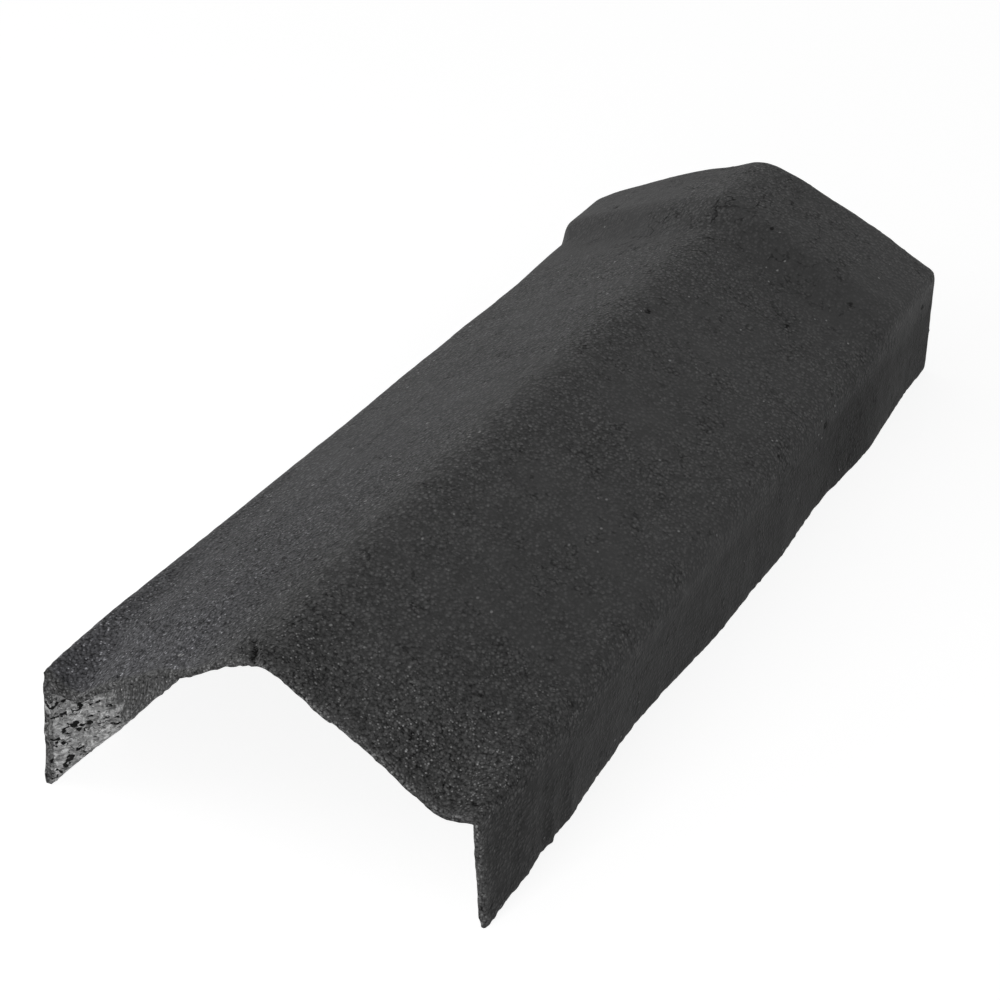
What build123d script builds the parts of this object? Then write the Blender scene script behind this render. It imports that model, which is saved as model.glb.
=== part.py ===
import os
from math import hypot

from build123d import *

# Ridge tile in one moulded piece: a thin roofed channel with a collar at its far end.
# Frame: X across, Y along the ridge from the plain end to the collar, Z up.
# The origin is on the floor, below the middle of the tile. Every size is in mm.

# Whole tile
length = 506
wall = 3

# Body: the section between the two ends. A peak is where the slopes meet before rounding
body_shoulder_width = 194.5
body_foot_width = 192
body_shoulder_height = 52
body_peak_height = 92.5
body_bow = 0.5

# Plain end: the slopes sag between a pinched ridge and sharper shoulders
plain_shoulder_width = 189
plain_foot_width = 193.5
plain_shoulder_height = 48.5
plain_peak_height = 95.5
plain_bow = -7
plain_run = 47

# Collar: wider and higher than the body, so that it laps over the next tile
collar_shoulder_width = 197
collar_foot_width = 193.5
collar_bulge_width = 201.5
collar_shoulder_height = 58
collar_peak_height = 101
collar_bow = 2.3

# Where the collar starts, measured back from its rim along the ridge: a short ramp in the
# slopes, and before it a longer one in the skirts
collar_band = 55
collar_ramp = 13
skirt_band = 76
skirt_ramp = 56

# The ramps lie askew: nearer to the rim at the left shoulder, and as much farther at the right
ramp_skew = 21

# Rounding of the outer skin
ridge_radius = 25
plain_shoulder_radius = 4
body_shoulder_radius = 15
collar_shoulder_radius = 8

# Places along the ridge, measured from the plain end
ramp_start = length - collar_band - collar_ramp
ramp_end = length - collar_band
skirt_start = length - skirt_band - skirt_ramp
skirt_end = length - skirt_band
slant = 2 * ramp_skew / body_shoulder_width


def eased(y, start, run):
    """Share of a transition that is done at y: 0 before it, 1 after it, level at both ends."""
    t = min(max((y - start) / run, 0), 1)
    return t * t * (3 - 2 * t)


def size_at(y, plain, body, collar, collar_share):
    """A size of the section at y, given its values at the plain end, in the body and in the collar."""
    plain_share = 1 - eased(y, 0, plain_run)
    return body + plain_share * (plain - body) + collar_share * (collar - body)


def wall_section(y, slant=0):
    """The wall cut across at y, square or slanting, with its feet a wall's thickness below the floor."""
    top = eased(y, ramp_start, collar_ramp)
    low = eased(y, skirt_start, skirt_ramp)
    shoulder_x = size_at(y, plain_shoulder_width, body_shoulder_width, collar_shoulder_width, top) / 2
    shoulder_z = size_at(y, plain_shoulder_height, body_shoulder_height, collar_shoulder_height, top)
    foot_x = size_at(y, plain_foot_width, body_foot_width, collar_bulge_width, low) / 2
    foot_x -= eased(y, skirt_end, skirt_band) * (collar_bulge_width - collar_foot_width) / 2
    peak_z = size_at(y, plain_peak_height, body_peak_height, collar_peak_height, top)
    bow = size_at(y, plain_bow, body_bow, collar_bow, top)
    shoulder_radius = size_at(
        y, plain_shoulder_radius, body_shoulder_radius, collar_shoulder_radius, top
    )

    # A slanting cut is longer across than a square one
    shoulder_x *= hypot(1, slant)
    foot_x *= hypot(1, slant)
    toe_x = foot_x + (foot_x - shoulder_x) * wall / shoulder_z
    middle_z = (shoulder_z + peak_z) / 2 + bow
    cut = Plane((0, y - length / 2, 0), x_dir=(1, -slant, 0), z_dir=(-slant, -1, 0))
    with BuildSketch(cut) as section:
        with BuildLine() as skin:
            Line((toe_x, -wall), (shoulder_x, shoulder_z))
            ThreePointArc((shoulder_x, shoulder_z), (shoulder_x / 2, middle_z), (0, peak_z))
            ThreePointArc((0, peak_z), (-shoulder_x / 2, middle_z), (-shoulder_x, shoulder_z))
            Line((-shoulder_x, shoulder_z), (-toe_x, -wall))
            fillet(skin.vertices().group_by(Axis.Y)[1], shoulder_radius)
            fillet(skin.vertices().sort_by(Axis.Y)[-1], ridge_radius)
            offset(amount=wall, side=Side.LEFT)
        make_face()
    return section.sketch


def stretch_between(start, end, steps, slant=0):
    """A smooth stretch of the tile, through sections at equal steps from start to end."""
    loft([wall_section(start + (end - start) * k / steps, slant) for k in range(steps + 1)])


with BuildPart() as ridge_tile:
    stretch_between(0, plain_run, 2)
    loft([wall_section(plain_run), wall_section(skirt_start, slant)])
    stretch_between(skirt_start, ramp_start, 8, slant)
    stretch_between(ramp_start, ramp_end, 4, slant)
    loft([wall_section(ramp_end, slant), wall_section(length)])

    # The feet are cut level, so that the tile stands on both of its skirts
    with BuildSketch():
        Rectangle(2 * collar_bulge_width, 2 * length)
    extrude(amount=-collar_shoulder_height, mode=Mode.SUBTRACT)

ridge_tile.part.label = "ridge_tile"

os.makedirs("parts", exist_ok=True)
export_step(ridge_tile.part, "parts/ridge_tile.step")
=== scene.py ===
"""Ridge tile: its moulded skin with relief and ragged edges, coat and bare fibre, camera, light."""

import math

import bpy
import numpy as np
from mathutils import Matrix, Vector


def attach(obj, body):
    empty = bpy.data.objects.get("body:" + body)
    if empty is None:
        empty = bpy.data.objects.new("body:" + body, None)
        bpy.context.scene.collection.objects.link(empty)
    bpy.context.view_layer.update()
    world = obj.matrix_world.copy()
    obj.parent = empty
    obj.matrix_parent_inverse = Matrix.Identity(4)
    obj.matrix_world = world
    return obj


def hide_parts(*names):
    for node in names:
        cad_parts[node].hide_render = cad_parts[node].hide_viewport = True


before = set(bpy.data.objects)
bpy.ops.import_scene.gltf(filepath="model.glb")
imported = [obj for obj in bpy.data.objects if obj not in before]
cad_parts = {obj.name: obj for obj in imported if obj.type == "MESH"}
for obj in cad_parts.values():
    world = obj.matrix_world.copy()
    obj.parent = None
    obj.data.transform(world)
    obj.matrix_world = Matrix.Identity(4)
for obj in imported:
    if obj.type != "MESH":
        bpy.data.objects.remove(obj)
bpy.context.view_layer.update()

# Sizes of the solid, in mm: at the plain end, in the body and in the collar
LENGTH, WALL = 506.0, 3.0
SHOULDER_X = (94.5, 97.25, 98.5)
SHOULDER_Z = (48.5, 52.0, 58.0)
PEAK_Z = (95.5, 92.5, 101.0)
BOW = (-7.0, 0.5, 2.3)
SHOULDER_R = (4.0, 15.0, 8.0)
FOOT_X = (96.75, 96.0, 100.75)
RIM_FOOT_X = 96.75
RIDGE_R = 25.0
PLAIN_RUN = 47.0
RAMP_START, RAMP_RUN = 438.0, 13.0
SKIRT_START, SKIRT_RUN, SKIRT_END = 374.0, 56.0, 430.0
SLANT = 42.0 / 194.5

# The grid of the skin: columns from the ridge to a foot, rows along the tile, and how much closer
# the rows are at the plain end than in even steps. The inside takes every second row and column
COLUMNS, ROWS = 106, 340
CROWDING = 0.28
COARSE = 2

# Points along the parts of half a section, how many of them from a corner a slope shows its
# direction there, and the gap between two parts. An arc takes at most this share of a side
SKIRT_POINTS, CORNER_POINTS, SLOPE_POINTS, CROWN_POINTS = 9, 13, 41, 15
LEADING, PART_GAP, ARC_SHARE = 6, 1, 0.9

# The collar's ramp is as short as the solid's at the left shoulder, and softer towards the ridge
# and the right: its length at places across the skin, from -1 at the left foot to 1 at the right
# one, and how far it is moved
RAMP_PLACES = (-1, -0.7, -0.4, -0.15, 0, 0.4, 0.7, 1)
RAMP_RUNS = (13, 13, 30, 36, 28, 32, 50, 50)
RAMP_MOVES = (0, 0, -5, -8, -4, 0, 0, 0)

# The skin lies this far inside the solid, so that its relief stays within it
INSET = 0.2

# The tile isn't quite true: (height, place across, width, reach along) of the swells at its plain
# end and at its rim, and of its thick left corner. They fade out down the skirts, from this height
SWELLS = (
    (-5.0, 79, 9, 60), (-5.0, -79, 9, 60), (2.3, 42, 18, 60), (1.3, -42, 18, 60),
    (-1.1, 0, 16, 60), (-2.3, -20, 12, 60), (-2.4, -6, 8, 25), (1.0, 15, 6, 25),
    (-2.4, 66, 8, 30), (-1.6, -33, 7, 25), (0.9, 22, 7, 25), (0.7, -42, 7, 25),
)
RIM_SWELLS = (
    (1.2, -55, 28, 30), (0.9, 20, 12, 30), (-1.6, 88, 14, 30), (1.0, -86, 12, 30),
    (-0.9, -17, 10, 30),
)
CORNER_SWELL_OUTSIDE, CORNER_SWELL_INSIDE = 8.4, -3.0
CORNER_PLACE, CORNER_WIDTH, CORNER_REACH = -98, 9, 80
FADING_Z = 45

# How far its feet and its left shoulder stand out, at places along it. The shoulder does so about
# its edge, over this width, and from the side on this share of it also lifts the skin
RIGHT_FOOT_PLACES = (
    0, 20, 33, 41, 48, 56, 64, 72, 80, 97, 133, 152, 172, 193,
    206, 225, 236, 247, 258, 281, 293, 317, 342, 368, 382, 400, 470, 506,
)
RIGHT_FOOT_OUT = (
    0.7, 0.5, 1.1, 0.8, -0.2, 0.8, 0.0, 0.7, -0.1, -1.2, -2.6, -2.4, -1.2, 0.0,
    1.0, 2.0, 1.8, 2.2, 1.8, 2.8, 3.2, 2.0, 1.0, 1.5, 0.6, -0.2, -0.6, 0.7,
)
LEFT_FOOT_PLACES = (0, 15, 45, 80, 200)
LEFT_FOOT_OUT = (2.4, 1.4, -0.8, -1.8, 0)
LEFT_PLACES = (0, 14, 32, 100, 270, 360, 400, 440)
LEFT_OUT = (-0.3, 0.6, 0.1, 0.57, 0.6, 0.17, -0.5, 0)
LEFT_EDGE, LEFT_WIDTH, LEFT_SIDE, LEFT_LIFT = -98, 20, -60, 0.6

# Size of a random field's table, and where it is read from
FIELD_SIDE, FIELD_START = 512, (91.3, 37.7)

# Random relief in layers: (height, size of a hill, seed)
BROAD_RELIEF = ((0.26, 70, 1), (0.14, 24, 2), (0.09, 9, 3))
ROUGH_RELIEF = ((0.12, 4.2, 4), (0.22, 2.3, 5))
EDGE_RELIEF = ((0.35, 3.1, 6),)
INNER_RELIEF = ((0.25, 40, 11), (0.22, 12, 12), (0.20, 5, 13))

# How rough the outside is all over, and what the plain end and the near left slope add, with the
# reach of each along the tile. Where the left slope begins, and over what distance and height
ROUGH, ROUGH_NEAR, ROUGH_LEFT = 0.30, 0.55, 0.15
NEAR_REACH, ROUGH_LEFT_REACH = 70, 170
LEFT_SLOPE_X, LEFT_SLOPE_RUN, LEFT_SLOPE_Z = 5, 30, 50

# Reach of the lumps along the ends and along the feet, and how strong they are along the feet
END_LUMPS_REACH, FOOT_LUMPS_REACH, FOOT_LUMPS = 5, 4, 0.7

# How far, in what size and from which seeds the outlines of pits and cracks are bent
WARP, WARP_SIZE, WARP_SEEDS = 1.6, 5, (81, 82)

# Pits and scars in the skin: where (x, y from the plain end, z), how wide and how deep
PITS = (
    ((-62, 4, 58), 2.4, 0.7), ((11, 333, 88), 2.0, 0.5), ((96, 346, 42), 2.6, 0.7),
    ((78, 430, 66), 2.0, 0.6), ((98, 486, 45), 2.4, 0.6), ((13, 444, 93), 1.8, 0.6),
    ((28, 446, 90), 1.6, 0.6), ((92, 292, 51), 1.8, 0.5), ((60, 388, 68), 1.8, 0.5),
    ((-70, 470, 74), 2.0, 0.5),
)
PIT_STRETCH = (1, 0.7, 1)

# Cracks and wrinkles: from, to, how wide and how deep. A low ridge runs along both sides of each:
# its height, place and width as shares of those. How much painted shade a crack gets, next to a pit's
WRINKLES = (
    ((-8, 19, 88), (3, -1, 88), 1.4, 1.2), ((-12, 9, 86), (-3, 3, 87), 1.1, 0.7),
    ((25, 403, 82), (25, 423, 82), 1.3, 0.5), ((34, 403, 78), (34, 419, 78), 1.2, 0.4),
    ((19, 503, 94), (35, 461, 87), 1.4, 0.5), ((23, 445, 90), (33, 428, 81), 1.5, 0.5),
    ((42, 440, 81), (62, 429, 72), 2.4, 0.5), ((-2, 385, 90), (10, 407, 88), 1.2, 0.4),
    ((-6, 443, 93), (6, 447, 96), 1.4, 0.5), ((-10, 418, 88), (0, 438, 90), 1.3, 0.4),
    ((48, 397, 73), (57, 392, 69), 1.3, 0.7), ((14, 440, 92), (18, 415, 88), 1.6, 0.4),
    ((40, 452, 84), (58, 447, 77), 1.5, 0.3),
)
SIDE_HEIGHT, SIDE_PLACE, SIDE_WIDTH = 0.6, 1.7, 0.7
CRACK_DARK = 0.75

# The sheet is thicker at the plain end, inside its right shoulder and its left foot: by how much,
# with what reach along the tile, and where that is across it or up: start and run
SHOULDER_LIP, SHOULDER_LIP_REACH, SHOULDER_LIP_X = 0.7, 9, (60, 25)
FOOT_LIP, FOOT_LIP_REACH, FOOT_LIP_Z = 1.2, 14, (4, 16)

# Edges: over what width the skins roll in at them, and by how much outside and inside
ROLL, ROLL_OUTSIDE, ROLL_INSIDE = 1.3, 0.35, 0.2

# How far the sheet's ends and feet are drawn in at most, over what distance this fades, and the
# layers of that raggedness: (share, size) and the first seed of each edge. The feet's patterns are
# this far apart
PLAIN_PULL, RIM_PULL, RIGHT_LIFT, LEFT_FOOT_LIFT = 1.3, 0.9, 0.7, 0.5
NEAR_LIFT, NEAR_LIFT_REACH = 1.0, 60
PULL_FADE = 5
RAGS = ((0.35, 14), (0.3, 5), (0.35, 2.5))
PLAIN_SEED, RIM_SEED, FOOT_SEED = 21, 31, 41
FEET_APART = 999

# Radius of the plain end's corners at the feet
LEFT_CORNER, RIGHT_CORNER = 1.4, 3.0

# Rings of points over the cut edge: (share of the way to the inner skin, how far it stands out).
# Fine and broad lumps stand out from them, and lumps to the side make them wander: height, size,
# how far apart the rings' patterns are, and seed. No ring comes nearer than the margin to an end
RINGS = ((0.15, 0.55), (0.5, 0.8), (0.88, 0.65))
FINE_LUMP, BROAD_LUMP, SIDE_LUMP = (0.50, 2.4, 60, 51), (0.24, 7, 30, 61), (0.20, 2.2, 40, 64)
END_MARGIN = 0.02

MM_IN_METRE = 1000


def eased(y, start, run):
    """0 before start, 1 after the run, smooth between."""
    t = np.clip((y - start) / run, 0, 1)
    return t * t * (3 - 2 * t)


def bump(x, middle, width):
    """A soft hill of height 1."""
    return np.exp(-((x - middle) / width) ** 2)


def fading(distance, reach):
    """1 at an edge, fading out away from it."""
    return np.exp(-distance / reach)


def field(u, v, size, seed):
    """A smooth random field between -1 and 1, with hills about `size` across."""
    table = np.random.default_rng(seed).uniform(-1, 1, (FIELD_SIDE, FIELD_SIDE))
    a, b = np.asarray(u) / size + FIELD_START[0], np.asarray(v) / size + FIELD_START[1]
    i, j = np.floor(a).astype(int), np.floor(b).astype(int)
    f, g = eased(a, i, 1), eased(b, j, 1)
    i, j, i1, j1 = (index % FIELD_SIDE for index in (i, j, i + 1, j + 1))
    low = table[i, j] * (1 - f) + table[i1, j] * f
    high = table[i, j1] * (1 - f) + table[i1, j1] * f
    return low * (1 - g) + high * g


def rounded(a, corner, c, radius, count):
    """Points of the arc that rounds a corner between a and c."""
    u, v = a - corner, c - corner
    lu, lv = np.linalg.norm(u), np.linalg.norm(v)
    u, v = u / lu, v / lv
    angle = math.acos(float(np.clip(u @ v, -1, 1)))
    cut = min(radius / math.tan(angle / 2), ARC_SHARE * min(lu, lv))
    p, q, w = corner + u * cut, corner + v * cut, math.sin(angle / 2)
    s = np.linspace(0, 1, count)[:, None]
    top = (1 - s) ** 2 * p + 2 * w * s * (1 - s) * corner + s**2 * q
    return top / ((1 - s) ** 2 + 2 * w * s * (1 - s) + s**2)


def half_section(y, collar):
    """The right half of the outer skin's section at y, foot to ridge, in body (0) or collar (1)."""
    low = eased(y, SKIRT_START, SKIRT_RUN)
    plain = 1 - eased(y, 0, PLAIN_RUN)

    def size(values, share):
        return values[1] + plain * (values[0] - values[1]) + share * (values[2] - values[1])

    shoulder = np.array([size(SHOULDER_X, collar), size(SHOULDER_Z, collar)])
    drawn_in = eased(y, SKIRT_END, LENGTH - SKIRT_END) * (FOOT_X[2] - RIM_FOOT_X)
    foot, peak = np.array([size(FOOT_X, low) - drawn_in, 0.0]), np.array([0.0, size(PEAK_Z, collar)])
    s = np.linspace(0, 1, SLOPE_POINTS)[:, None]
    slope = shoulder + (peak - shoulder) * s
    slope[:, 1] += (size(BOW, collar) * 4 * s * (1 - s))[:, 0]
    corner = rounded(foot, shoulder, slope[LEADING], size(SHOULDER_R, collar), CORNER_POINTS)
    high = slope[-1 - LEADING]
    crown = rounded(high, peak, high * (-1, 1), RIDGE_R, CROWN_POINTS)[:CROWN_POINTS // 2 + 1]
    between = (slope[:, 0] < corner[-1, 0] - PART_GAP) & (slope[:, 0] > crown[0, 0] + PART_GAP)
    skirt = foot + (corner[0] - foot) * np.linspace(0, 1, SKIRT_POINTS)[:-1, None]
    return np.concatenate([skirt, corner, slope[between], crown])


def resampled(line, count):
    """The line's points again, at equal steps along it, with its length."""
    run = np.r_[0, np.cumsum(np.linalg.norm(np.diff(line, axis=0), axis=1))]
    at = np.linspace(0, run[-1], count)
    return np.c_[np.interp(at, run, line[:, 0]), np.interp(at, run, line[:, 1])], run[-1]


def mirrored(half):
    """A whole section from its right half."""
    return np.concatenate([half, half[::-1][1:] * (-1, 1)])


# The skin as a grid: rows across the tile, closer together at the plain end, slanting over the
# collar's ramp
steps = np.linspace(0, 1, ROWS + 1)
stations = LENGTH * ((1 - CROWDING) * steps + CROWDING * steps**2)
slants = SLANT * np.clip(
    np.minimum((stations - PLAIN_RUN) / (SKIRT_START - PLAIN_RUN),
               (LENGTH - stations) / (LENGTH - RAMP_START - RAMP_RUN)), 0, 1)
places = np.linspace(1, -1, 2 * COLUMNS + 1)
ramp_runs = np.interp(places, RAMP_PLACES, RAMP_RUNS)
ramp_starts = RAMP_START + (RAMP_RUN - ramp_runs) / 2 + np.interp(places, RAMP_PLACES, RAMP_MOVES)

grid, across = [], []
for y, slant in zip(stations, slants):
    body, reach = resampled(half_section(y, 0), COLUMNS + 1)
    collar = mirrored(resampled(half_section(y, 1), COLUMNS + 1)[0])
    body = mirrored(body)
    share = eased(y, ramp_starts, ramp_runs)[:, None]
    x, z = (body + share * (collar - body)).T
    grid.append(np.c_[x, y - slant * x, z])
    across.append(reach * places)
true_grid, across = np.array(grid), np.array(across)
along = true_grid[..., 1]
from_foot = np.abs(across).max(axis=1, keepdims=True) - np.abs(across)


def normals(points):
    """The grid's directions outwards."""
    du, dv = np.gradient(points, axis=1), np.gradient(points, axis=0)
    n = np.cross(dv, du)
    return n / np.linalg.norm(n, axis=2, keepdims=True)


def swollen(x, distance, swells):
    """How high the swells of one end are, at x across the tile and at a distance from that end."""
    return sum(height * bump(x, place, width) * fading(distance, reach)
               for height, place, width, reach in swells)


def out_of_true(points, corner_swell):
    """The grid with the tile's swells, its thick left corner and its wavy feet and shoulder."""
    x, y, z = points[..., 0], points[..., 1], points[..., 2]
    upper = np.clip(z / FADING_Z, 0, 1)
    dz = swollen(x, y, SWELLS) + swollen(x, LENGTH - y, RIM_SWELLS)
    dz = (dz + corner_swell * fading(y, CORNER_REACH) * bump(x, CORNER_PLACE, CORNER_WIDTH)) * upper
    left_out = np.interp(y, LEFT_PLACES, LEFT_OUT) * upper
    dz = dz + LEFT_LIFT * left_out * (x < LEFT_SIDE)
    right = (1 - upper) * np.interp(y, RIGHT_FOOT_PLACES, RIGHT_FOOT_OUT)
    left = left_out * bump(x, LEFT_EDGE, LEFT_WIDTH)
    left = left + (1 - upper) * np.interp(y, LEFT_FOOT_PLACES, LEFT_FOOT_OUT)
    dx = np.where(x > 0, right, -left)
    return points + np.stack([dx, 0 * y, dz], -1)


def layered(layers, share=1.0, total=0.0):
    """Layers of random relief over the skin, added to a total."""
    for height, size, seed in layers:
        total = total + share * height * field(across, along, size, seed)
    return total


# Relief of the outside: broad unevenness, lumps that are strongest at the plain end, pits and cracks
grid = out_of_true(true_grid, CORNER_SWELL_OUTSIDE)
n = normals(grid)
near = fading(along, NEAR_REACH)
left_slope = np.clip((-grid[..., 0] - LEFT_SLOPE_X) / LEFT_SLOPE_RUN, 0, 1)
left_slope = left_slope * np.clip(grid[..., 2] / LEFT_SLOPE_Z, 0, 1)
rough = ROUGH + ROUGH_NEAR * near + ROUGH_LEFT * left_slope * fading(along, ROUGH_LEFT_REACH)
rough = np.clip(rough, 0, 1)
at_edges = fading(along, END_LUMPS_REACH) + FOOT_LUMPS * fading(from_foot, FOOT_LUMPS_REACH)
relief = layered(EDGE_RELIEF, at_edges, layered(ROUGH_RELIEF, rough, layered(BROAD_RELIEF)))
relief = np.where(relief > 0, INSET * np.tanh(relief / INSET), relief)
warp_x, warp_y = (field(across, along, WARP_SIZE, seed) for seed in WARP_SEEDS)
warped = grid + WARP * np.stack([warp_x, warp_y, 0 * along], -1)
# Where pits and cracks are: for their painted shade in the coat's colour and their dents in its bump
pit_and_shade = 0 * along
for spot, width, depth in PITS:
    gap = np.linalg.norm((warped - spot) * PIT_STRETCH, axis=2)
    hollow = bump(gap, 0, width)
    relief -= depth * hollow
    pit_and_shade = np.maximum(pit_and_shade, hollow)
for start, end, width, depth in WRINKLES:
    start, run = np.array(start), np.subtract(end, start)
    share = np.clip((warped - start) @ run / (run @ run), 0, 1)
    gap = np.linalg.norm(warped - start - share[..., None] * run, axis=2) / width
    relief += depth * (SIDE_HEIGHT * bump(gap, SIDE_PLACE, SIDE_WIDTH) - bump(gap, 0, 1))
    pit_and_shade = np.maximum(pit_and_shade, CRACK_DARK * depth * bump(gap, 0, 1))

# The skin rolls in at all its edges
roll = sum(bump(gap, 0, ROLL) for gap in (along, LENGTH - along, from_foot))
outer = grid + n * (relief - INSET - ROLL_OUTSIDE * roll)[..., None]

# How strongly the grain shows: this much all over, more at the plain end, on the near left slope, on
# the ridge and halfway along the left slope, less on skirts and collar, and never under the least.
# It varies in patches: (share, size, seed). Inside it is even
GRAIN, GRAIN_PLAIN_END, GRAIN_LEFT_NEAR, GRAIN_LEFT_FAR = 0.36, 0.58, 0.62, 0.12
GRAIN_RIDGE, GRAIN_RIDGE_FAR, GRAIN_OFF_SKIRT, GRAIN_OFF_COLLAR = 0.08, 0.20, 0.60, 0.25
GRAIN_LEAST, GRAIN_INSIDE, GRAIN_PATCHES = 0.12, 0.65, ((0.30, 42, 71), (0.25, 17, 72))

# Where those places are, in mm: how far the near ones reach, and the start and run of the others.
# The skirts end sharper and higher up near the plain end
PLAIN_END_REACH, LEFT_NEAR_REACH = 60, 138
RIDGE_X, RIDGE_WIDTH, RIDGE_ALONG, RIDGE_FAR = -8, 26, (60, 80), (220, 80)
LEFT_FAR_FROM, LEFT_FAR_TO, ON_COLLAR = (240, 60), (390, 40), (405, 45)
SKIRT_TOP, SKIRT_TOP_NEAR, SKIRT_BLUR, SKIRT_BLUR_NEAR = 34, 9, 20, 16

skirt_top, blur = SKIRT_TOP + SKIRT_TOP_NEAR * near, SKIRT_BLUR - SKIRT_BLUR_NEAR * near
on_skirt = 1 - eased(grid[..., 2], skirt_top, blur)
on_ridge = bump(grid[..., 0], RIDGE_X, RIDGE_WIDTH) * eased(along, *RIDGE_ALONG)
halfway = eased(along, *LEFT_FAR_FROM) * (1 - eased(along, *LEFT_FAR_TO))
grain = GRAIN + GRAIN_PLAIN_END * fading(along, PLAIN_END_REACH)
grain += GRAIN_LEFT_NEAR * left_slope * bump(along, 0, LEFT_NEAR_REACH)
grain += (GRAIN_RIDGE + GRAIN_RIDGE_FAR * eased(along, *RIDGE_FAR)) * on_ridge
grain += GRAIN_LEFT_FAR * left_slope * halfway
grain *= layered(GRAIN_PATCHES, total=1.0)
grain *= (1 - GRAIN_OFF_SKIRT * on_skirt) * (1 - GRAIN_OFF_COLLAR * eased(along, *ON_COLLAR))
grain = np.clip(grain, GRAIN_LEAST, 1)

# Inside: the same sheet a wall's thickness in, lumpy, at half the resolution
grid = out_of_true(true_grid, CORNER_SWELL_INSIDE)
n = normals(grid)
lip = SHOULDER_LIP * fading(along, SHOULDER_LIP_REACH) * eased(grid[..., 0], *SHOULDER_LIP_X)
at_foot = (1 - eased(grid[..., 2], *FOOT_LIP_Z)) * (grid[..., 0] < 0)
lip += FOOT_LIP * fading(along, FOOT_LIP_REACH) * at_foot
depth = WALL + layered(INNER_RELIEF) + lip - ROLL_INSIDE * roll
inner = (grid - n * depth[..., None])[::COARSE, ::COARSE]


def ragged(place, seed):
    """Uneven depth along an edge, between 0 and 1."""
    total = 1
    for k, (share, size) in enumerate(RAGS):
        total = total + share * field(place, 0, size, seed + k)
    return 0.5 * total


def trim(points, s, y):
    """Draws the sheet's edges in by up to 2 mm, unevenly, and rounds the plain end's corners."""
    x0, y0, z0 = points[..., 0], points[..., 1], points[..., 2]
    on_right = x0 > 0
    pull = PLAIN_PULL * ragged(s, PLAIN_SEED) * fading(y0, PULL_FADE)
    pull = pull - RIM_PULL * ragged(s, RIM_SEED) * fading(LENGTH - y0, PULL_FADE)
    torn = np.where(on_right, RIGHT_LIFT + NEAR_LIFT * fading(y, NEAR_LIFT_REACH), LEFT_FOOT_LIFT)
    y0, z0 = np.clip(y0, 0, LENGTH) + pull, np.clip(z0, 0, None)
    z0 = z0 + torn * ragged(y + FEET_APART * on_right, FOOT_SEED) * fading(z0, PULL_FADE)
    corner = np.where(on_right, RIGHT_CORNER, LEFT_CORNER)
    in_y, in_z = corner - y0, corner - z0
    far = np.hypot(in_y, in_z)
    shrink = np.where((in_y > 0) & (in_z > 0) & (far > corner), corner / np.maximum(far, 1e-6), 1)
    return np.stack([x0, corner - in_y * shrink, corner - in_z * shrink], -1)


outer = trim(outer, across, along)
inner = trim(inner, across[::COARSE, ::COARSE], along[::COARSE, ::COARSE])


def border(rows, cols, offset):
    """Indices of a grid's outline, once round."""
    index = np.arange(rows * cols).reshape(rows, cols) + offset
    return np.concatenate([index[0, :-1], index[:-1, -1], index[-1, :0:-1], index[:0:-1, 0]])


def quads(rows, cols, offset, flip):
    """The faces of a grid."""
    index = np.arange(rows * cols).reshape(rows, cols) + offset
    q = np.stack([index[:-1, :-1], index[:-1, 1:], index[1:, 1:], index[1:, :-1]], -1).reshape(-1, 4)
    return q[:, ::-1] if flip else q


# The cut edges: rings of points from the outer skin's outline to the inner one's
rows_out, cols_out = outer.shape[:2]
rows_in, cols_in = inner.shape[:2]
count_out, count_in = rows_out * cols_out, rows_in * cols_in
loop_out, loop_in = border(rows_out, cols_out, 0), border(rows_in, cols_in, count_out)
round_out = len(loop_out)
edge_out = outer.reshape(-1, 3)[loop_out]
flat_in = inner.reshape(-1, 3)[loop_in - count_out]
edge_in = np.empty((round_out, 3))
edge_in[::2] = flat_in
edge_in[1::2] = (flat_in + np.roll(flat_in, -1, axis=0)) / 2
row, col = np.divmod(loop_out, cols_out)
end_way = (row == rows_out - 1) * 1.0 - (row == 0)
foot_way = -1.0 * ((col == 0) | (col == cols_out - 1))
out_way = np.stack([0 * row, end_way, foot_way], -1)
out_way /= np.linalg.norm(out_way, axis=1, keepdims=True)
walk = np.r_[0, np.cumsum(np.linalg.norm(np.diff(edge_out, axis=0), axis=1))]


def lumps(kind, ring, next_seed=1):
    """Lumps of a kind along one ring."""
    height, size, apart, seed = kind
    return height * field(walk, apart * ring, size, seed + next_seed * ring)


rings = []
for k, (share, swell) in enumerate(RINGS):
    lump = lumps(FINE_LUMP, k) + lumps(BROAD_LUMP, k, next_seed=0)
    uneven = (share + lumps(SIDE_LUMP, k))[:, None]
    ring = edge_out * (1 - uneven) + edge_in * uneven + out_way * (swell + lump)[:, None]
    ring[:, 1] = np.clip(ring[:, 1], END_MARGIN, LENGTH - END_MARGIN)
    ring[:, 2] = np.clip(ring[:, 2], 0, None)
    rings.append(ring)
edge = np.concatenate(rings)
count_edge = len(edge)
verts = np.concatenate([outer.reshape(-1, 3), inner.reshape(-1, 3), edge])
verts[:, 1] -= LENGTH / 2

faces = [quads(rows_out, cols_out, 0, True), quads(rows_in, cols_in, count_out, False)]
first_ring = count_out + count_in
loops = [loop_out] + [first_ring + round_out * k + np.arange(round_out) for k in range(len(RINGS))]
for a, b in zip(loops, loops[1:]):
    faces.append(np.stack([a, np.roll(a, -1), np.roll(b, -1), b], -1))
last = loops[-1]
odd, even = np.roll(last, -1)[::2], np.roll(last, -2)[::2]
faces.append(np.stack([odd, even, np.roll(loop_in, -1), loop_in], -1))
tris = np.stack([last[::2], odd, loop_in], -1)

mesh = bpy.data.meshes.new("moulded_skin")
mesh.from_pydata((verts / MM_IN_METRE).tolist(), [], np.concatenate(faces).tolist() + tris.tolist())
mesh.polygons.foreach_set("use_smooth", np.ones(len(mesh.polygons), bool))

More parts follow.
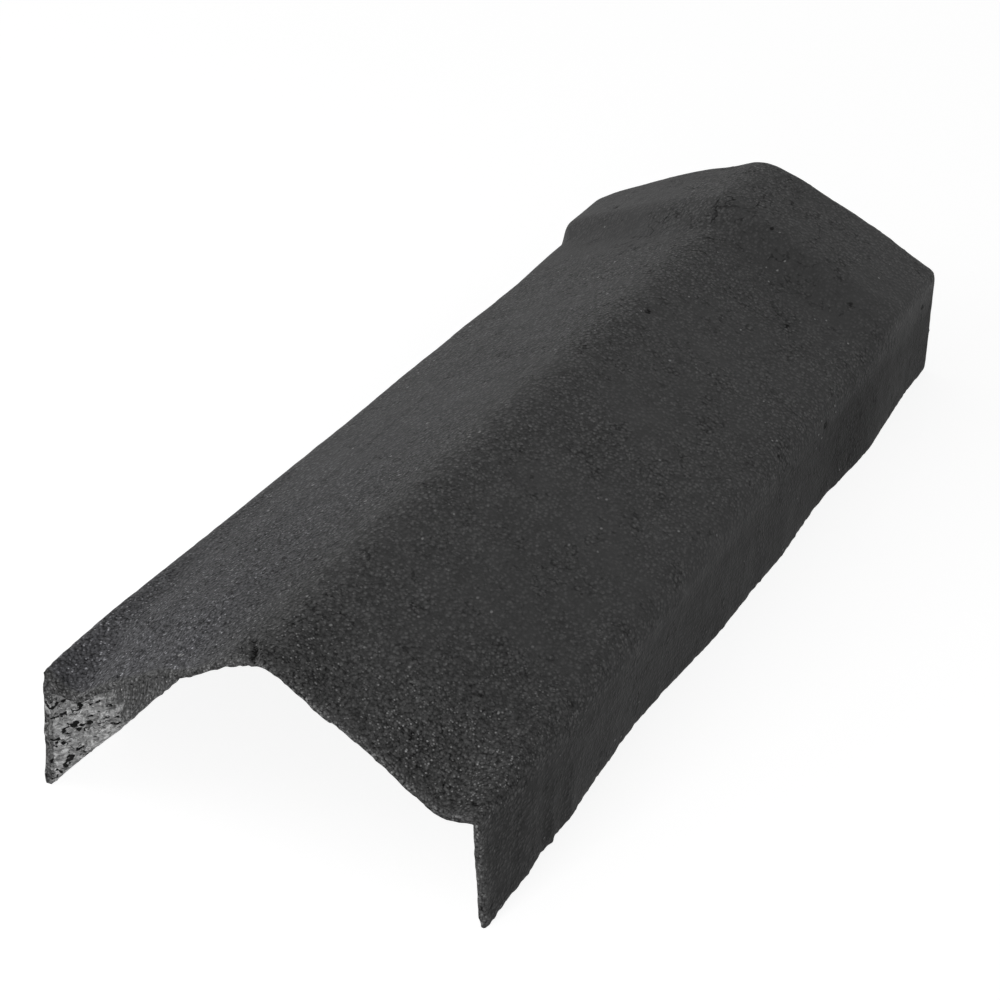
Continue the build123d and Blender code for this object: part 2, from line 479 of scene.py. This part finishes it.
# Bare fibre inside: up to this height, and up to this far along the feet and less further up, each
# fading out over some distance. A share of it goes on over the left foot's cut edge at the plain end
BARE_Z, BARE_EDGE_Z, BARE_Z_FADE = 47.7, 46, 5
BARE_ALONG, BARE_SLANT, BARE_ALONG_FADE = 74, 0.58, 38
BARE_EDGE, BARE_EDGE_ALONG = 0.58, 3
bare_in = np.clip((BARE_Z - inner[..., 2]) / BARE_Z_FADE, 0, 1)
bare_in *= np.clip((BARE_ALONG - inner[..., 1] - BARE_SLANT * inner[..., 2]) / BARE_ALONG_FADE, 0, 1)
bare_edge = BARE_EDGE * (edge[:, 1] < BARE_EDGE_ALONG) * (edge[:, 0] < 0)
bare_edge *= np.clip((BARE_EDGE_Z - edge[:, 2]) / BARE_Z_FADE, 0, 1)

# The cut edge's finish goes on over the skins at the plain end: (share, reach)
CUT_OUTSIDE, CUT_INSIDE = (0.8, 5), (0.9, 2.5)
cut_out = CUT_OUTSIDE[0] * fading(along, CUT_OUTSIDE[1])
cut_in = CUT_INSIDE[0] * fading(along, CUT_INSIDE[1])[::COARSE, ::COARSE]

# How much the skin shines in the body, inside and on the cut edge, and how much less on the skirts,
# least of all towards the collar. Along the plain end it shines more: (share, reach)
SHEEN, SHEEN_INSIDE, SHEEN_EDGE = 0.46, 0.48, 0.25
DULL_SKIRT, DULL_FAR_SKIRT, DULL_FAR = 0.52, 0.12, (280, 120)
NOT_DULL_END, BRIGHT_END = (0.8, 4), (0.25, 7)
darker = DULL_SKIRT + DULL_FAR_SKIRT * eased(along, *DULL_FAR)
darker = darker * (1 - NOT_DULL_END[0] * fading(along, NOT_DULL_END[1]))
sheen = SHEEN * (1 - darker * on_skirt) * (1 + BRIGHT_END[0] * fading(along, BRIGHT_END[1]))

# Painted light: how much the coat is lightened, and tinted bluish, on the near left slope, and how far
# along. Inside, the coat is lightened all over
PAINTED_LIGHT_LEFT, PAINTED_LIGHT_REACH = 0.11, 160
painted_light_and_tint = PAINTED_LIGHT_LEFT * left_slope * fading(along, PAINTED_LIGHT_REACH)

# What the finish needs to know at each point of the outside, the inside and the cut edge
attributes = {
    "inside": (np.zeros(count_out), bare_in, bare_edge),
    "cut": (cut_out, cut_in, np.ones(count_edge)),
    "grain": (grain, np.full(count_in, GRAIN_INSIDE), np.tile(grain.ravel()[loop_out], len(RINGS))),
    "sheen": (sheen, np.full(count_in, SHEEN_INSIDE), np.full(count_edge, SHEEN_EDGE)),
    "painted_light_and_tint": (painted_light_and_tint, np.ones(count_in), np.zeros(count_edge)),
    "pit_and_shade": (pit_and_shade, np.zeros(count_in), np.zeros(count_edge)),
}
for name, parts in attributes.items():
    values = np.concatenate([np.ravel(part) for part in parts])
    mesh.attributes.new(name, "FLOAT", "POINT").data.foreach_set("value", values.astype(np.float32))
mesh.update()


def added(name, data):
    """A new object in the scene."""
    thing = bpy.data.objects.new(name, data)
    bpy.context.scene.collection.objects.link(thing)
    return thing


skin = added("moulded_skin", mesh)


class Nodes:
    """Short calls for building a material's nodes."""

    def __init__(self, name):
        self.material = bpy.data.materials.new(name)
        self.material.use_nodes = True
        self.tree = self.material.node_tree
        self.shader = self.tree.nodes["Principled BSDF"]

    def add(self, kind, **settings):
        node = self.tree.nodes.new(kind)
        for key, value in settings.items():
            setattr(node, key, value)
        return node

    def put(self, target, value):
        if isinstance(value, bpy.types.NodeSocket):
            self.tree.links.new(value, target)
        else:
            target.default_value = value

    def put_all(self, node, values):
        """Values for a node's inputs, by number or name."""
        for key, value in values.items():
            self.put(node.inputs[key], value)
        return node

    def math(self, operation, a, b=0.0):
        node = self.add("ShaderNodeMath", operation=operation)
        return self.put_all(node, {0: a, 1: b}).outputs[0]

    def plus(self, *values):
        total = values[0]
        for value in values[1:]:
            total = self.math("ADD", total, value)
        return total

    def times(self, *values):
        total = values[0]
        for value in values[1:]:
            total = self.math("MULTIPLY", total, value)
        return total

    def off(self, value, middle):
        """Distance from a middle value."""
        return self.math("ABSOLUTE", self.math("SUBTRACT", value, middle))

    def vector(self, operation, a, b, out=0):
        node = self.add("ShaderNodeVectorMath", operation=operation)
        return self.put_all(node, {0: a, 1: b}).outputs[out]

    def scaled(self, colour, factor):
        node = self.add("ShaderNodeVectorMath", operation="SCALE")
        return self.put_all(node, {0: colour, "Scale": factor}).outputs[0]

    def mix(self, share, a, b):
        node = self.add("ShaderNodeMix", data_type="RGBA")
        return self.put_all(node, {0: share, 6: a, 7: b}).outputs[2]

    def mix_value(self, share, a, b):
        return self.put_all(self.add("ShaderNodeMix"), {0: share, 2: a, 3: b}).outputs[0]

    def noise(self, place, scale, detail=2.0, rough=0.5, distort=0.0):
        settings = {"Vector": place, "Scale": scale, "Detail": detail, "Roughness": rough,
                    "Distortion": distort}
        return self.put_all(self.add("ShaderNodeTexNoise"), settings).outputs["Fac"]

    def voronoi(self, place, scale, randomness=1.0):
        node = self.add("ShaderNodeTexVoronoi")
        return self.put_all(node, {"Vector": place, "Scale": scale, "Randomness": randomness})

    def cells(self, place, scale, randomness=1.0):
        """Distance from a cell's middle, and two random numbers for the cell."""
        node = self.voronoi(place, scale, randomness)
        parts = self.put_all(self.add("ShaderNodeSeparateColor"), {0: node.outputs["Color"]})
        return node.outputs["Distance"], parts.outputs[0], parts.outputs[1]

    def angular(self, place, scale, share):
        """The place drawn towards the middle of its cell, so that what is shaped by it gets corners."""
        middle = self.voronoi(place, scale).outputs["Position"]
        return self.vector("ADD", self.scaled(place, 1 - share), self.scaled(middle, share))

    def step(self, value, low, high):
        """0 below low, 1 above high; the other way round if low is the larger."""
        node = self.add("ShaderNodeMapRange", interpolation_type="SMOOTHSTEP")
        self.put_all(node, {"Value": value, "From Min": min(low, high), "From Max": max(low, high),
                            "To Min": float(low > high), "To Max": float(low < high)})
        return node.outputs["Result"]

    def attribute(self, name):
        return self.add("ShaderNodeAttribute", attribute_name=name).outputs["Fac"]


def grey(value, blue=0.0):
    return (value, value, value + blue, 1.0)


# Colours, darkest and lightest of each: coat, the coat lightened as painted light (tinted bluish on the
# near left slope, plain inside), cut edge and bare fibre. Then a bright speck for painted glints and
# the black of the fibre's pits
COAT_COLOURS, PAINTED_LIGHT_COLOURS = (grey(0.0200), grey(0.0250)), (grey(0.20, 0.04), grey(0.20))
EDGE_COLOURS, FIBRE_COLOURS = (grey(0.030), grey(0.105)), (grey(0.26), grey(0.95))
GLINT_COLOUR, PIT_COLOUR = grey(0.18), grey(0.014)

# Cells to the metre: the coat's pebbles and finer grains, its clumps, the cut edge's grains, torn
# fibre. How the pebbles are stretched, how far out of order they are, and how far they waver
PEBBLES, GRAINS, CLUMPS, EDGE_GRAINS, TATTERS = 570, 1100, 400, 1000, 480
PEBBLE_STRETCH, PEBBLE_DISORDER, PEBBLE_WOBBLE = (1.0, 0.75, 1.0), 0.9, 0.002

# The fibre lies aslant on the skirt: its pattern's stretch along the tile and up, and its slope
FELT_ALONG, FELT_UP, FELT_SLOPE = 0.55, 1.3, 0.6

# Where the fine wrinkles meet, and how far from there they begin to fade and end, in metres
APEX, APEX_FULL, APEX_END = (0.016, 0.180, 0.090), 0.030, 0.080

# Strength of the bump and its height in metres
BUMP, BUMP_HEIGHT = 0.8, 0.0006

b = Nodes("bitumen_fibre")
place = b.add("ShaderNodeTexCoord").outputs["Object"]
wobble = b.math("SUBTRACT", b.noise(place, 230, 3, 0.6), 0.5)
bare = b.step(b.plus(b.attribute("inside"), b.times(wobble, 0.9)), 0.55, 0.75)
cut = b.step(b.plus(b.attribute("cut"), b.times(wobble, 0.7)), 0.35, 0.65)
grain = b.attribute("grain")

# Coat: pebbles and finer grains with painted shade in the gaps, painted highlights on the pebbles'
# tops, and a few painted glints
pebble_place = b.vector("ADD", place, b.scaled((1.0, 1.0, 1.0), b.times(wobble, PEBBLE_WOBBLE)))
pebble_place = b.vector("MULTIPLY", pebble_place, PEBBLE_STRETCH)
distance, cell_tone, cell_pick = b.cells(pebble_place, PEBBLES, PEBBLE_DISORDER)
small_distance, small_tone, small_pick = b.cells(place, GRAINS)
pebble = b.step(distance, 0.66, 0.16)
# Painted highlight: the pebbles' tops lighter, some more than others
pebble_highlight = b.times(pebble, pebble, b.plus(b.times(cell_pick, 0.9), 0.45))
patch = b.noise(place, 42, 3, 0.6)
coat = b.mix(b.step(b.noise(place, 17, 3), 0.35, 0.70), *COAT_COLOURS)
# Painted light: the coat lightened, tinted bluish on the near left slope and plain inside the tile,
# where it lies in shade
painted_light_and_tint = b.attribute("painted_light_and_tint")
coat = b.mix(painted_light_and_tint, coat, b.mix(b.step(painted_light_and_tint, 0.30, 0.90), *PAINTED_LIGHT_COLOURS))
# Painted glints: a few of the finer grains much lighter, more where the patches are
few = b.math("POWER", small_pick, 10.0)
painted_glints = b.times(few, b.step(small_distance, 0.60, 0.25), b.plus(patch, 0.2))
# Painted shade in the gaps between the finer grains
gap_shade = b.step(small_distance, 0.40, 0.80)
tone = b.plus(small_tone, -0.52, b.times(gap_shade, -0.42), b.times(painted_glints, 6.5))
pebbles_in = b.plus(b.step(grain, 0.02, 0.55), b.times(b.step(grain, 0.55, 0.95), -0.45))
pebbled = b.times(pebbles_in, b.plus(b.times(pebble_highlight, 0.80), b.times(cell_tone, 0.10), -0.18))

# Clumps: raised in the bump, with a painted highlight on top and a painted shadow round the foot
clump_distance, _, clump_pick = b.cells(place, CLUMPS)
clumps = b.times(b.step(clump_pick, 0.62, 0.72), b.step(b.noise(place, 55, 3, 0.6), 0.52, 0.60))
lump_top = b.times(clumps, b.step(clump_distance, 0.42, 0.12))
lump_foot_shadow = b.times(clumps, b.step(clump_distance, 0.40, 0.60))
dot = b.times(b.step(distance, 0.42, 0.28), b.step(cell_tone, 0.984, 0.988))
# Painted glint: the middles of a few pebbles in the speck colour
picked = b.step(b.plus(cell_pick, b.times(patch, 0.10)), 1.043, 1.051)
glint_speck = b.times(b.step(distance, 0.40, 0.22), picked)

# Fine wrinkles: thickest where the collar's ramp meets the ridge, with a few elsewhere. Their creases
# are dented in the bump and darkened as painted shade
far = b.vector("LENGTH", b.vector("SUBTRACT", place, APEX), (0.0, 0.0, 0.0), out=1)
crease = b.off(b.noise(place, 48, 3, 0.55, 0.6), 0.5)
where = b.plus(b.step(far, APEX_END, APEX_FULL), b.times(b.step(patch, 0.52, 0.62), 0.6))
wrinkle = b.times(b.step(crease, 0.026, 0.004), where, b.step(b.noise(place, 90, 2), 0.42, 0.55))
# Pits and cracks, darkened in the colour as painted shade and dented in the bump
pit_and_shade = b.step(b.plus(b.attribute("pit_and_shade"), b.times(wobble, 0.8)), 0.42, 0.66)

# What each of them adds to the coat's brightness, or takes away: random tone, painted highlights and
# glints, painted shade in gaps, wrinkles, pits and round the lumps' feet, and dark dots
fine_grain = b.math("MAXIMUM", b.plus(grain, -0.18), 0.0)
shade = b.plus(
    1.0, pebbled, b.times(fine_grain, tone),
    b.times(wrinkle, -0.30), b.times(pit_and_shade, -0.60),
    b.times(lump_top, 0.65), b.times(lump_foot_shadow, -0.35), b.times(dot, -0.5),
)
shade = b.math("MAXIMUM", shade, 0.1)
coat = b.mix(glint_speck, b.scaled(coat, shade), GLINT_COLOUR)

# Cut edge: grains of much the same size, lighter and saltier, with painted shade between them
edge_distance, _, edge_pick = b.cells(place, EDGE_GRAINS)
cut_colour = b.mix(b.step(b.plus(edge_pick, b.times(wobble, 0.5)), 0.55, 1.05), *EDGE_COLOURS)
cut_colour = b.scaled(cut_colour, b.step(edge_distance, 0.85, 0.35))

# Bare fibre inside: grey felt with black pits, smears and cracks, and painted shade that darkens it
# away from the plain end, deeper under the tile
axes = b.put_all(b.add("ShaderNodeSeparateXYZ"), {0: place}).outputs
aslant = b.plus(b.times(axes["Z"], FELT_UP), b.times(axes["Y"], FELT_SLOPE))
felt_place = b.put_all(b.add("ShaderNodeCombineXYZ"),
                       {"X": axes["X"], "Y": b.times(axes["Y"], FELT_ALONG), "Z": aslant}).outputs[0]
torn_place = b.angular(felt_place, TATTERS, 0.85)
fibre = b.mix(b.step(b.noise(felt_place, 420, 4, 0.7, 0.8), 0.34, 0.66), *FIBRE_COLOURS)
chips = b.step(b.noise(torn_place, 500, 2), 0.30, 0.62)
fibre = b.scaled(fibre, b.plus(0.70, b.times(chips, 0.56)))
# Painted shade: the fibre fades to half as bright between about 20 and 90 mm in from the plain end
fibre = b.scaled(fibre, b.plus(0.5, b.times(b.step(axes["Y"], -0.16, -0.235), 0.5)))
at_end = b.times(b.step(axes["Y"], -0.225, -0.252), 0.03)
drift = b.times(b.math("SUBTRACT", b.noise(place, 70, 2), 0.5), 0.12)
smear = b.step(b.plus(b.noise(torn_place, 260, 4, 0.75), at_end, drift), 0.562, 0.577)
crack = b.step(b.off(b.noise(felt_place, 300, 2, 0.6, 0.4), 0.47), 0.022, 0.006)
crack = b.times(crack, b.step(b.noise(place, 160, 2), 0.44, 0.56), 0.85)
smear = b.math("MAXIMUM", smear, crack)
fibre = b.scaled(b.mix(smear, fibre, PIT_COLOUR), b.plus(1.0, b.times(cut, -0.7)))

# The shine follows the grains, and the pits in the fibre have little
b.put(b.shader.inputs["Base Color"], b.mix(bare, b.mix(cut, coat, cut_colour), fibre))
roughness = b.plus(0.66, b.times(b.noise(place, 120, 3), 0.20), b.times(bare, 0.1))
b.put(b.shader.inputs["Roughness"], roughness)
shine = b.mix_value(bare, shade, b.plus(1.0, b.times(smear, -0.8)))
b.put(b.shader.inputs["Specular IOR Level"], b.times(b.attribute("sheen"), shine))

# Fine relief of the coat, of the felt and of the cut edge
fine = b.noise(place, 1500, 2, 0.6)
grains_up = b.times(grain, b.plus(b.times(pebble, 0.5), b.times(small_tone, 0.6)))
coat_up = b.plus(
    b.times(pebble, 0.35), grains_up, b.times(fine, 0.25),
    b.times(wrinkle, -1.0), b.times(pit_and_shade, -0.8), b.times(lump_top, 1.8),
)
felt_up = b.plus(b.times(smear, -1.6), b.times(b.noise(felt_place, 700, 3, 0.7), 0.8))
height = b.plus(b.times(coat_up, b.math("SUBTRACT", 1.0, bare)), b.times(felt_up, bare))
height = b.plus(height, b.times(cut, b.math("SUBTRACT", 0.5, edge_distance), 0.8))
relief_node = b.put_all(b.add("ShaderNodeBump"),
                        {"Strength": BUMP, "Distance": BUMP_HEIGHT, "Height": height})
b.put(b.shader.inputs["Normal"], relief_node.outputs["Normal"])
mesh.materials.append(b.material)

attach(skin, "root")
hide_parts("ridge_tile")


def seen_directly(tree):
    """1 for camera, glossy and transmission rays, for which floor and world are a white background."""
    path = tree.nodes.new("ShaderNodeLightPath")
    total = path.outputs["Is Camera Ray"]
    for name in ("Is Glossy Ray", "Is Transmission Ray"):
        node = tree.nodes.new("ShaderNodeMath")
        node.operation, node.use_clamp = "ADD", True
        tree.links.new(total, node.inputs[0])
        tree.links.new(path.outputs[name], node.inputs[1])
        total = node.outputs[0]
    return total


# Floor: mid grey in the light that it throws back at the tile. What is seen of it directly is pale,
# and mostly plain white whatever the light, so that its shadow stays light
FLOOR_COLOURS, FLOOR_WHITE, WHITE_STRENGTH = (grey(0.40), grey(0.95)), 0.72, 1.19
FLOOR_SIDE, FLOOR_DROP = 8, 0.0004
plain = Nodes("floor")
plain.put_all(plain.shader, {
    "Base Color": plain.mix(seen_directly(plain.tree), *FLOOR_COLOURS),
    "Roughness": 0.9, "Specular IOR Level": 0.1,
})
white = plain.put_all(plain.add("ShaderNodeEmission"), {"Strength": WHITE_STRENGTH})
white_share = plain.times(seen_directly(plain.tree), FLOOR_WHITE)
surface = plain.put_all(plain.add("ShaderNodeMixShader"),
                        {0: white_share, 1: plain.shader.outputs[0], 2: white.outputs[0]})
plain.put(plain.tree.nodes["Material Output"].inputs["Surface"], surface.outputs[0])
floor_mesh = bpy.data.meshes.new("floor")
floor_corners = [(x * FLOOR_SIDE, y * FLOOR_SIDE, 0) for x, y in ((-1, -1), (1, -1), (1, 1), (-1, 1))]
floor_mesh.from_pydata(floor_corners, [], [(0, 1, 2, 3)])
floor_mesh.materials.append(plain.material)
floor = added("floor", floor_mesh)
floor.location.z = -FLOOR_DROP

# World: an even white that lights the tile less strongly than it is seen
WORLD_LIGHT = 0.45
world = bpy.data.worlds.new("studio")
world.use_nodes = True
tree = world.node_tree
background = tree.nodes["Background"]
background.inputs["Color"].default_value = grey(1.0)
strength = tree.nodes.new("ShaderNodeMix")
strength.inputs[2].default_value, strength.inputs[3].default_value = WORLD_LIGHT, 1.0
tree.links.new(seen_directly(tree), strength.inputs[0])
tree.links.new(strength.outputs[0], background.inputs["Strength"])
bpy.context.scene.world = world


def softbox(name, place, aim, size, power):
    """A square lamp at a place, turned to what it aims at."""
    light = bpy.data.lights.new(name, "AREA")
    light.shape, light.size, light.energy = "SQUARE", size, power
    lamp = added(name, light)
    lamp.location = place
    lamp.rotation_euler = (Vector(place) - Vector(aim)).to_track_quat("Z", "Y").to_euler()


softbox("key", place=(-1.0, -0.5, 0.40), aim=(0, 0, 0.05), size=0.6, power=3.4)
softbox("front", place=(0.0, -0.9, 0.12), aim=(-0.05, -0.25, 0.04), size=0.25, power=6)

# Camera: its angles round the middle of the tile, how far it is from there in metres, its lens in
# mm and its shift
AZIMUTH, ELEVATION, ROLL_ANGLE = math.radians(25.54), math.radians(29.27), math.radians(0.83)
MIDDLE, DISTANCE = (0, 0, 0.04), 1.07102
SENSOR, LENS, SHIFT_X, SHIFT_Y = 36.0, 85.02, -0.05287, -0.03032
back = Vector((math.sin(AZIMUTH) * math.cos(ELEVATION), -math.cos(AZIMUTH) * math.cos(ELEVATION),
               math.sin(ELEVATION)))
right = Vector((math.cos(AZIMUTH), math.sin(AZIMUTH), 0))
up = back.cross(right)
right, up = (math.cos(ROLL_ANGLE) * right + math.sin(ROLL_ANGLE) * up,
             math.cos(ROLL_ANGLE) * up - math.sin(ROLL_ANGLE) * right)
lens = bpy.data.cameras.new("camera")
lens.sensor_width, lens.lens = SENSOR, LENS
lens.shift_x, lens.shift_y = SHIFT_X, SHIFT_Y
camera = added("camera", lens)
turn = Matrix((right, up, back)).transposed().to_4x4()
camera.matrix_world = Matrix.Translation(Vector(MIDDLE) + back * DISTANCE) @ turn
bpy.context.scene.camera = camera
bpy.context.scene.view_settings.view_transform = "Standard"

bpy.context.view_layer.update()
